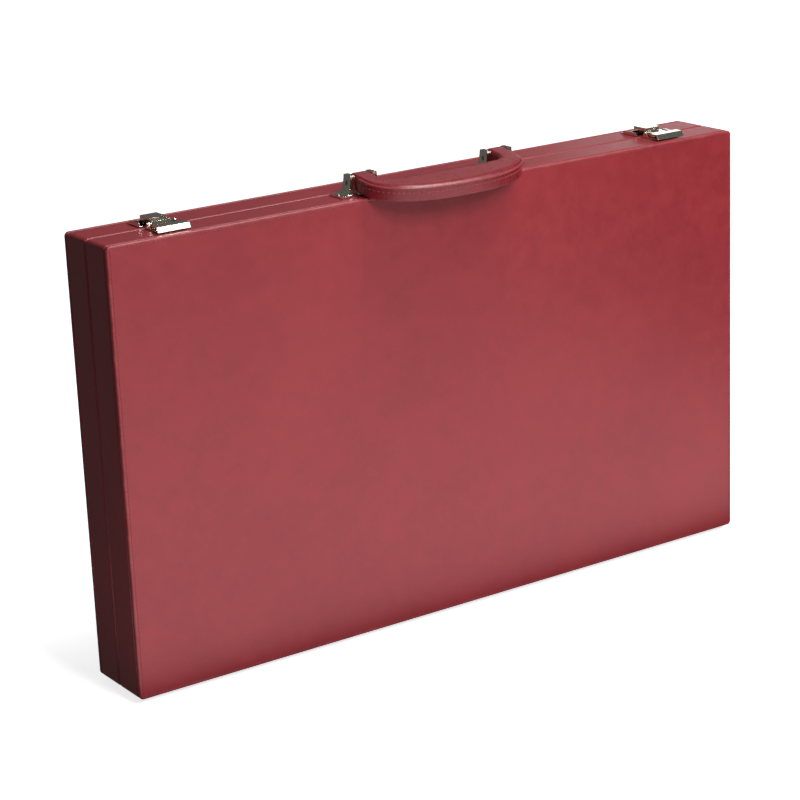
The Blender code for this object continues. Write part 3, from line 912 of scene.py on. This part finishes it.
@dataclass
class Board:
    """The playing board inside one half."""

    half: Half
    felt: bpy.types.Material
    light_point: bpy.types.Material
    dark_point: bpy.types.Material
    rail_finish: bpy.types.Material
    points: int = 6
    point_length: float = 198 * MM
    point_share: float = 0.94
    point_thickness: float = 0.5 * MM
    point_edge: float = 0.18 * MM
    point_setback: float = 0.8 * MM
    field_edge: float = 0.6 * MM
    bar_edge: float = 2.2 * MM
    rail_edge: float = 1.4 * MM

    def field(self) -> bpy.types.Object:
        """The felt-covered base.

        Returns:
            The base.
        """
        node = f"{self.half.word}_playing_field"
        shape = box_between(*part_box(node))
        round_over(shape, rim_edges(faces_towards(shape, self._up())), self.field_edge, 3)
        piece = shown(f"{self.half.word}_field_felt", shape, self.felt)
        return settle(piece, self.half.body, "field_felt", node)

    def _up(self) -> Vector:
        """The direction that the playing surface faces."""
        return Vector((0, -self.half.side, 0))

    def point_row(self, light: bool) -> bpy.types.Object:
        """Every second point of this half as thin inlaid leather.

        Args:
            light: True for the pale points, False for the dark ones.

        Returns:
            The points as one object.
        """
        word = self.half.word
        low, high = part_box(f"{word}_playing_field")
        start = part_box(f"{word}_half_bar")[1].z
        pitch = (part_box(f"{word}_well_rail")[0].z - start) / self.points
        surface = low.y if self.half.side > 0 else high.y
        shape = bmesh.new()
        for sign in (-1, 1):
            base = high.x if sign > 0 else low.x
            for number in range(self.points):
                if (number + (sign > 0) + (self.half is Half.BACK)) % 2 == int(light):
                    continue
                middle = start + pitch * (number + 0.5)
                half_width = pitch * self.point_share / 2
                corners = [
                    (base - sign * self.point_setback, middle - half_width),
                    (base - sign * self.point_length, middle),
                    (base - sign * self.point_setback, middle + half_width),
                ]
                verts = [shape.verts.new((x, surface, z)) for x, z in corners]
                flat = shape.faces.new(verts)
                flat.normal_update()
                if flat.normal.dot(self._up()) < 0:
                    flat.normal_flip()
                grown = bmesh.ops.extrude_face_region(shape, geom=[flat])["geom"]
                lifted = [part for part in grown if isinstance(part, bmesh.types.BMVert)]
                top = [part for part in grown if isinstance(part, bmesh.types.BMFace)]
                bmesh.ops.translate(shape, vec=self._up() * self.point_thickness, verts=lifted)
                round_over(shape, rim_edges(top), self.point_edge, 2)
        bmesh.ops.recalc_face_normals(shape, faces=shape.faces)
        tone = "light" if light else "dark"
        material = self.light_point if light else self.dark_point
        return settle(shown(f"{word}_{tone}_points", shape, material), self.half.body, "field_felt")

    def rails(self) -> None:
        """The half bar, the well rail and the well divider, with rolled leather edges."""
        word = self.half.word
        edges = {"half_bar": self.bar_edge, "well_rail": self.rail_edge, "well_divider": self.rail_edge}
        for part, edge in edges.items():
            node = f"{word}_{part}"
            shape = box_between(*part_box(node))
            round_over(shape, rim_edges(faces_towards(shape, self._up())), edge, 5)
            piece = shown(f"{node}_cover", shape, self.rail_finish)
            settle(piece, self.half.body, "bar_leather", node)

    def build(self) -> None:
        """Builds the half's inner pieces."""
        self.field()
        self.point_row(True)
        self.point_row(False)
        self.rails()


# ---------------------------------------------------------------- handle


@dataclass
class Handle:
    """The carrying handle: a wrapped, padded grip with a piped edge and a sewn wall."""

    leather: bpy.types.Material
    # The piping's finish is the handle's oxblood leather coloured lighter and pinker: a painted highlight
    # along the bead.
    piping: bpy.types.Material
    thread: bpy.types.Material
    fold: float = math.radians(8)
    leg_x: float = 59.5 * MM
    leg_width: float = 14.1 * MM
    thickness: float = 12.5 * MM
    inner_reach: float = 19.5 * MM
    outer_reach: float = 48.1 * MM
    shoulder: float = 16 * MM
    fillet: float = 9 * MM
    powers: tuple[float, float] = (2.4, 2.0)
    end_reach: float = 6.5 * MM
    crown: float = 2.9 * MM
    rounding: float = 1.5 * MM
    pipe_radius: float = 0.8 * MM
    pipe_height: float = 4.1 * MM
    seam_height: float = 0.7 * MM
    trim_start: float = 8 * MM
    pin_bore: float = 1.7 * MM
    leg_steps: int = 5
    corner_steps: int = 12
    grip_steps: int = 14
    bend_steps: int = 40
    end_steps: int = 7
    end_start: float = 87
    end_turn: float = 14
    end_taper: float = 0.04
    stitch_pitch: float = 3.6 * MM
    stitch_length: float = 2.5 * MM
    stitch_width: float = 0.75 * MM
    stitch_proud: float = 0.05 * MM
    pivot: Vector = field(init=False)
    place: Matrix = field(init=False)

    def __post_init__(self) -> None:
        """Reads the pivot from the pins and works out how the handle lies."""
        self.pivot = middle_of("handle_pin_left")
        self.pivot.x = 0
        turn = Matrix.Rotation(math.pi + self.fold, 4, "X")
        # In the handle's own axes X runs along the case, Y is the reach from the pivots, and Z the thickness,
        # turned so that positive Z is the side that faces up when the handle is folded.
        self.place = Matrix.Translation(self.pivot) @ turn @ Matrix.Diagonal((1, 1, -1, 1))

    def outer_edge(self, x: float) -> float:
        """The reach of the outer edge at this distance from the middle."""
        outer = self.leg_x + self.leg_width / 2
        share = max(0.0, 1 - (abs(x) / outer) ** self.powers[0])
        return self.shoulder + (self.outer_reach - self.shoulder) * share ** (1 / self.powers[1])

    def half_route(self) -> list[tuple[Vector, Vector]]:
        """The inner and outer edges from one leg's end to the middle of the grip.

        Returns:
            Pairs of points, one on each edge.
        """
        outer = self.leg_x + self.leg_width / 2
        inner = self.leg_x - self.leg_width / 2
        corner = self.inner_reach - self.fillet
        pairs = []
        for i in range(self.leg_steps):
            reach = corner * i / self.leg_steps
            pairs.append((Vector((inner, reach, 0)), Vector((outer, reach, 0))))
        centre = inner - self.fillet
        bend = [Vector((outer, corner, 0)), Vector((outer, self.shoulder, 0))]
        for i in range(1, self.bend_steps + 1):
            x = outer - (outer - centre) * (i / self.bend_steps) ** 2
            bend.append(Vector((x, self.outer_edge(x), 0)))
        for i in range(self.corner_steps + 1):
            angle = math.pi / 2 * i / self.corner_steps
            near = Vector((centre + self.fillet * math.cos(angle), corner + self.fillet * math.sin(angle), 0))
            pairs.append((near, along(bend, i / self.corner_steps)))
        for i in range(1, self.grip_steps + 1):
            x = centre * (1 - i / self.grip_steps)
            pairs.append((Vector((x, self.inner_reach, 0)), Vector((x, self.outer_edge(x), 0))))
        return pairs

    def route(self) -> list[tuple[Vector, Vector]]:
        """Pairs of inner and outer edge points along the whole handle, left leg to right leg."""
        right = self.half_route()
        left = [(Vector((-near.x, near.y, 0)), Vector((-far.x, far.y, 0))) for near, far in right]
        return left + right[-2::-1]

    def section(self, near: Vector, far: Vector, shrink: float = 1.0, thin: float = 1.0) -> Matrix:
        """Where the unit section goes: X from the inner to the outer edge, Y through the thickness.

        Args:
            near: the inner edge's point.
            far: the outer edge's point.
            shrink: how much of the width is kept.
            thin: how much of the thickness is kept.

        Returns:
            The section's place.
        """
        across = far - near
        run = across.normalized()
        middle = (near + far) / 2
        width = across.length * shrink
        turn = Matrix((run, Vector((0, 0, 1)), run.cross(Vector((0, 0, 1))))).transposed().to_4x4()
        return Matrix.Translation(middle) @ turn @ Matrix.Diagonal((width, self.thickness * thin, 1.0, 1.0))

    def places(self) -> list[Matrix]:
        """Every section's place, with the two leg ends rounded about their pins.

        Returns:
            The places, from the left leg's end to the right leg's.
        """
        pairs = self.route()
        left, right = [], []
        for i in range(self.end_steps):
            angle = math.radians(self.end_start - self.end_turn * i)
            shift = Vector((0, -self.end_reach * math.sin(angle), 0))
            thin = math.cos(angle)
            shrink = 1 - self.end_taper + self.end_taper * thin
            for (near, far), end in ((pairs[0], left), (pairs[-1], right)):
                end.append(self.section(near + shift, far + shift, shrink, thin))
        return left + [self.section(near, far) for near, far in pairs] + right[::-1]

    def grip(self) -> bpy.types.Object:
        """The wrapped core, swept through its sections, with a bore for the pins.

        Returns:
            The grip.
        """
        shape = bmesh.new()
        bmesh.ops.create_grid(shape, x_segments=1, y_segments=1, size=0.5)
        upper = [vert for vert in shape.verts if vert.co.y > 0]
        lower = [vert for vert in shape.verts if vert.co.y < 0]
        for corners, radius in ((upper, self.crown), (lower, self.rounding)):
            round_over(shape, corners, radius / self.thickness, 6, "VERTICES")
        places = self.places()
        cap = list(shape.faces)
        bmesh.ops.transform(shape, matrix=places[0], verts=shape.verts)
        for before, after in zip(places, places[1:]):
            grown = bmesh.ops.extrude_face_region(shape, geom=cap)["geom"]
            if before is not places[0]:
                bmesh.ops.delete(shape, geom=cap, context="FACES_ONLY")
            verts = [part for part in grown if isinstance(part, bmesh.types.BMVert)]
            cap = [part for part in grown if isinstance(part, bmesh.types.BMFace)]
            bmesh.ops.transform(shape, matrix=after @ before.inverted(), verts=verts)
        bmesh.ops.recalc_face_normals(shape, faces=shape.faces)
        bmesh.ops.transform(shape, matrix=self.place, verts=shape.verts)
        bmesh.ops.recalc_face_normals(shape, faces=shape.faces)
        piece = shown("handle_grip_cover", shape, self.leather, HANDLE_SMOOTH)
        cut(piece, self._bore())
        smooth(piece, HANDLE_SMOOTH)
        return settle(piece, "handle", "handle_leather", "handle_grip")

    def _bore(self) -> Bm:
        """A rod along the pins' axis.

        Returns:
            The rod, as a bmesh.
        """
        shape = bmesh.new()
        turn = Matrix.Translation(self.pivot) @ Matrix.Rotation(math.pi / 2, 4, "Y")
        bmesh.ops.create_cone(
            shape,
            cap_ends=True,
            segments=24,
            radius1=self.pin_bore,
            radius2=self.pin_bore,
            depth=4 * self.leg_x,
            matrix=turn,
        )
        return shape

    def _edge_line(self, height: float, proud: float) -> list[tuple[Vector, Vector]]:
        """The outer edge as a line with its outward directions, from where the legs leave their brackets.

        Args:
            height: above or below the handle's middle plane.
            proud: how far outside the edge.

        Returns:
            Points in the case's frame with their outward directions.
        """
        pairs = [pair for pair in self.route() if pair[1].y > self.trim_start]
        turn = self.place.to_3x3()
        found = []
        for i, (_, far) in enumerate(pairs):
            before, after = pairs[max(i - 1, 0)][1], pairs[min(i + 1, len(pairs) - 1)][1]
            ahead = (after - before).normalized()
            out = Vector((-ahead.y, ahead.x, 0))
            if out.dot(far - pairs[i][0]) < 0:
                out.negate()
            at = far + out * proud + Vector((0, 0, height))
            found.append((self.place @ at, (turn @ out).normalized()))
        return found

    def pipe(self) -> bpy.types.Object:
        """The raised bead along the upper edge of the outer wall."""
        line = self._edge_line(self.pipe_height, -self.pipe_radius * 0.25)
        piece = tube("handle_piping", [point for point, _ in line], self.pipe_radius, self.piping)
        return settle(piece, "handle", "handle_leather")

    def seam(self) -> bpy.types.Object:
        """The stitches along the outer wall."""
        line = self._edge_line(self.seam_height, self.stitch_proud)
        sizes = (self.stitch_pitch, self.stitch_length, self.stitch_width)
        piece = stitches("handle_seam", line, *sizes, self.thread)
        return settle(piece, "handle", "handle_leather")

    def build(self) -> None:
        """Builds the handle's pieces."""
        self.grip()
        self.pipe()
        self.seam()


def along(line: Sequence[Vector], share: float) -> Vector:
    """The point at this share of a line's length.

    Args:
        line: its points in order.
        share: from 0 at the start to 1 at the end.

    Returns:
        The point.
    """
    lengths = [(b - a).length for a, b in zip(line, line[1:])]
    left = share * sum(lengths)
    for start, end, length in zip(line, line[1:], lengths):
        if left <= length or end is line[-1]:
            return start.lerp(end, min(1.0, left / length))
        left -= length
    return line[-1]


def tube(name: str, line: Sequence[Vector], radius: float, material: bpy.types.Material) -> bpy.types.Object:
    """A round tube with closed ends along a line.

    Args:
        name: the piece's name.
        line: the middle of the tube.
        radius: of the tube.
        material: its finish.

    Returns:
        The tube.
    """
    curve = bpy.data.curves.new(name, "CURVE")
    curve.dimensions = "3D"
    curve.bevel_depth = radius
    curve.bevel_resolution = 3
    curve.use_fill_caps = True
    spline = curve.splines.new("POLY")
    spline.points.add(len(line) - 1)
    for point, at in zip(spline.points, line):
        point.co = (*at, 1.0)
    helper = bpy.data.objects.new(name, curve)
    bpy.context.scene.collection.objects.link(helper)
    bpy.context.view_layer.update()
    mesh = bpy.data.meshes.new_from_object(helper.evaluated_get(bpy.context.evaluated_depsgraph_get()))
    bpy.data.objects.remove(helper, do_unlink=True)
    shape = bmesh.new()
    shape.from_mesh(mesh)
    bpy.data.meshes.remove(mesh)
    bmesh.ops.remove_doubles(shape, verts=shape.verts, dist=MERGE)
    bmesh.ops.recalc_face_normals(shape, faces=shape.faces)
    return shown(name, shape, material, HANDLE_SMOOTH)


# ---------------------------------------------------------------- metal parts


@dataclass
class Hardware:
    """The latches, brackets, pins, rivets, feet and hinge, with eased edges."""

    nickel: bpy.types.Material
    steel: bpy.types.Material
    plate_edge: float = 0.16 * MM
    bracket_edge: float = 0.45 * MM
    screw_radius: float = 2.1 * MM
    screws_per_leaf: int = 9
    screw_turn: float = 37
    screw_taper: float = 0.93
    screw_depth: float = 0.3 * MM
    screw_rim: float = 0.35 * MM
    screw_dish: float = 0.12 * MM
    leaf_setback: float = 0.2 * MM

    def build(self) -> None:
        """Builds every metal piece."""
        for node, body in self._bodies().items():
            plated = node.startswith(("handle_bracket", "latch_", "bracket_rivet"))
            if plated or "foot" in node or "pin" in node:
                self._one(node, body)
        for half in Half:
            self._leaf(half)

    def _bodies(self) -> dict[str, str]:
        """The body of every node."""
        groups = frame["record"]["behaviour"]["bodies"]
        return {node: body for body, nodes in groups.items() for node in nodes}

    def _slot(self, node: str) -> str:
        """The record's slot of a node."""
        rows = frame["record"]["subparts"]
        return next(row["material_slot"] for row in rows if row["node"] == node)

    def _one(self, node: str, body: str) -> None:
        """A finished copy of one small part, eased where its edges show.

        Args:
            node: the part's node.
            body: the body that it rides on.
        """
        slot = self._slot(node)
        finish = self.steel if "steel" in slot else self.nickel
        radius = self.plate_edge
        if node.startswith("handle_bracket"):
            radius = self.bracket_edge
        elif any(word in node for word in ("rivet", "foot", "pin", "leaf")):
            radius = 0.0
        settle(shown(f"{node}_finished", eased(node, radius), finish, METAL_SMOOTH), body, slot, node)

    def _leaf(self, half: Half) -> None:
        """A finished hinge leaf with its row of screws.

        Args:
            half: the half that it is screwed to.
        """
        node = f"{half.word}_hinge_leaf"
        self._one(node, half.body)
        low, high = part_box(node)
        face = self._leaf_face(half)
        z = (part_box(f"{half.word}_bottom_rail")[0].z + high.z) / 2
        shape = bmesh.new()
        for number in range(self.screws_per_leaf):
            x = low.x + (high.x - low.x) * (number + 0.5) / self.screws_per_leaf
            turn = Matrix.Translation((x, face, z)) @ Matrix.Rotation(math.pi / 2 * half.side, 4, "X")
            self._screw(shape, turn, math.radians(self.screw_turn * number))
        piece = shown(f"{half.word}_hinge_screws", shape, self.nickel, METAL_SMOOTH)
        settle(piece, half.body, self._slot(node))

    def _leaf_face(self, half: Half) -> float:
        """The Y at which the screws of this half's leaf sit."""
        return middle_of("hinge_pin").y + half.side * self.leaf_setback

    def _screw(self, shape: Bm, place: Matrix, turn: float) -> None:
        """Adds one low countersunk head with a dished top.

        Args:
            shape: the bmesh that it goes in.
            place: where it goes, with its own Z out of the leaf.
            turn: its turn about that Z.
        """
        disc = bmesh.ops.create_cone(
            shape,
            cap_ends=True,
            segments=20,
            radius1=self.screw_radius,
            radius2=self.screw_radius * self.screw_taper,
            depth=self.screw_depth,
            matrix=place @ Matrix.Rotation(turn, 4, "Z"),
        )["verts"]
        normal = (place.to_3x3() @ Vector((0, 0, 1))).normalized()
        around = {face for vert in disc for face in vert.link_faces}
        top = [face for face in around if face.normal.dot(normal) > 0.9]
        bmesh.ops.inset_region(shape, faces=top, thickness=self.screw_rim, depth=-self.screw_dish)


# ---------------------------------------------------------------- studio


@dataclass
class Studio:
    """The sweep, the soft lights and the camera."""

    paper: bpy.types.Material
    lens: float = 110.3
    yaw: float = math.radians(33.753)
    pitch: float = math.radians(-17.227)
    roll: float = math.radians(2.3852)
    eye: tuple[float, float, float] = (-0.98585, -1.43744, 0.69654)
    floor_reach: float = 8.0
    room_glow: float = 0.1

    def seam_foot(self) -> Vector:
        """The middle of the closed case's underside."""
        return Vector((0, middle_of("hinge_pin").y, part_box("front_panel")[0].z))

    def camera(self) -> None:
        """The camera, level but for a small roll."""
        lens = bpy.data.cameras.new("camera")
        lens.lens = self.lens
        lens.sensor_width = 36
        lens.clip_end = 50
        camera = bpy.data.objects.new("camera", lens)
        bpy.context.scene.collection.objects.link(camera)
        flat = math.cos(self.pitch)
        ahead = Vector((flat * math.sin(self.yaw), flat * math.cos(self.yaw), math.sin(self.pitch)))
        level = ahead.cross(Vector((0, 0, 1))).normalized()
        down = ahead.cross(level)
        right = level * math.cos(self.roll) + down * math.sin(self.roll)
        up = right.cross(ahead)
        turn = Matrix((right, up, -ahead)).transposed().to_4x4()
        camera.matrix_world = Matrix.Translation(self.seam_foot() + Vector(self.eye)) @ turn
        bpy.context.scene.camera = camera

    def sweep(self) -> None:
        """A wide pale floor. The bounce light does the work of the light that it would throw back."""
        shape = bmesh.new()
        bmesh.ops.create_grid(shape, x_segments=1, y_segments=1, size=self.floor_reach)
        floor = shown("floor", shape, self.paper)
        floor.visible_diffuse = False
        floor.visible_glossy = False

    def light(
        self,
        name: str,
        at: Sequence[float],
        aim: Sequence[float],
        size: tuple[float, float],
        power: float,
    ) -> None:
        """A rectangular soft light.

        Args:
            name: its name.
            at: where it stands.
            aim: the point that it faces.
            size: its width and height.
            power: its strength in watts.
        """
        lamp = bpy.data.lights.new(name, "AREA")
        lamp.shape = "RECTANGLE"
        lamp.size, lamp.size_y = size
        lamp.energy = power
        holder = bpy.data.objects.new(name, lamp)
        bpy.context.scene.collection.objects.link(holder)
        holder.visible_camera = False
        holder.location = at
        ahead = Vector(aim) - Vector(at)
        holder.rotation_euler = ahead.to_track_quat("-Z", "Y").to_euler()

    def build(self) -> None:
        """Sets up everything around the case."""
        self.camera()
        self.sweep()
        self.light("key", (0.0, -1.7, 1.45), (-0.1, 0, 0.1), (0.45, 0.8), 27)
        self.light("bounce", (0.05, -0.52, 0.01), (0.05, -0.5, 1.0), (1.0, 0.95), 3.8)
        self.light("top", (0.5, -0.4, 1.7), (0.05, 0, 0.3), (0.7, 0.6), 20)
        self.light("rim", (1.95, 1.9, 0.85), (0.27, 0, 0.33), (0.5, 0.35), 1.0)
        self.light("glint", (0.75, -1.42, 1.45), (-0.2, 0, 0.33), (0.9, 0.4), 2.4)
        self.light("back", (1.1, 1.7, 1.9), (0.0, 0, 0.2), (1.0, 0.8), 1.6)
        world = bpy.data.worlds.new("studio")
        bpy.context.scene.world = world
        world.use_nodes = True
        background = world.node_tree.nodes["Background"]
        background.inputs["Color"].default_value = (1.0, 1.0, 1.0, 1.0)
        background.inputs["Strength"].default_value = self.room_glow
        bpy.context.scene.view_settings.view_transform = "Standard"


def main() -> None:
    """Builds the case's looks and the studio, in order."""
    logging.basicConfig(level=logging.INFO, format="%(name)s: %(message)s")
    low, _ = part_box("front_panel")
    _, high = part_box("back_panel")
    case = (low, high)
    oxblood = Leather(
        "oxblood_leather", (0.235, 0.014, 0.021), (0.295, 0.021, 0.028), (0.42, 0.1, 0.09), wear=case
    )
    rim = Leather(
        "oxblood_rim_leather", (0.22, 0.013, 0.02), (0.28, 0.019, 0.026), (0.4, 0.09, 0.08), 0.4, wear=case
    )
    handle = Leather(
        "oxblood_handle_leather", (0.17, 0.008, 0.014), (0.23, 0.014, 0.021), (0.4, 0.1, 0.09), 0.32
    )
    # The piping leather is lighter and pinker than the handle leather, a painted highlight of the bead's
    # rounded top.
    piping = Leather("oxblood_piping_painted_highlight", (0.24, 0.03, 0.036), (0.33, 0.055, 0.06), (0.4, 0.1, 0.09), 0.34)
    bar = Leather("oxblood_bar_leather", (0.15, 0.016, 0.02), (0.21, 0.026, 0.03), (0.3, 0.08, 0.07), 0.42)
    cream = Leather("cream_point_leather", (0.56, 0.47, 0.33), (0.68, 0.6, 0.45), (0.7, 0.64, 0.5), 0.55)
    red = Leather("oxblood_point_leather", (0.2, 0.022, 0.026), (0.28, 0.036, 0.04), (0.3, 0.08, 0.07), 0.5)
    panel_leather, rim_leather = oxblood.make(), rim.make()
    handle_leather, painted_highlight_piping_leather, bar_leather = handle.make(), piping.make(), bar.make()
    cream_leather, red_leather = cream.make(), red.make()
    felt = Felt("green_felt", (0.012, 0.055, 0.036), (0.03, 0.105, 0.07)).make()
    dark_thread = Thread("dark_thread", (0.2, 0.016, 0.022), (0.14, 0.011, 0.015)).make()
    red_thread = Thread("red_thread", (0.42, 0.1, 0.1), (0.28, 0.045, 0.05)).make()
    nickel = Polished("polished_nickel").make()
    steel = Brushed("hinge_steel").make()
    for half in Half:
        CoveredHalf(half, panel_leather, rim_leather, dark_thread).build()
        Board(half, felt, cream_leather, red_leather, bar_leather).build()
    Handle(handle_leather, painted_highlight_piping_leather, red_thread).build()
    Hardware(nickel, steel).build()
    Studio(Paper("pale_paper", (0.86, 0.86, 0.86)).make()).build()


if __name__ == "__main__":
    main()
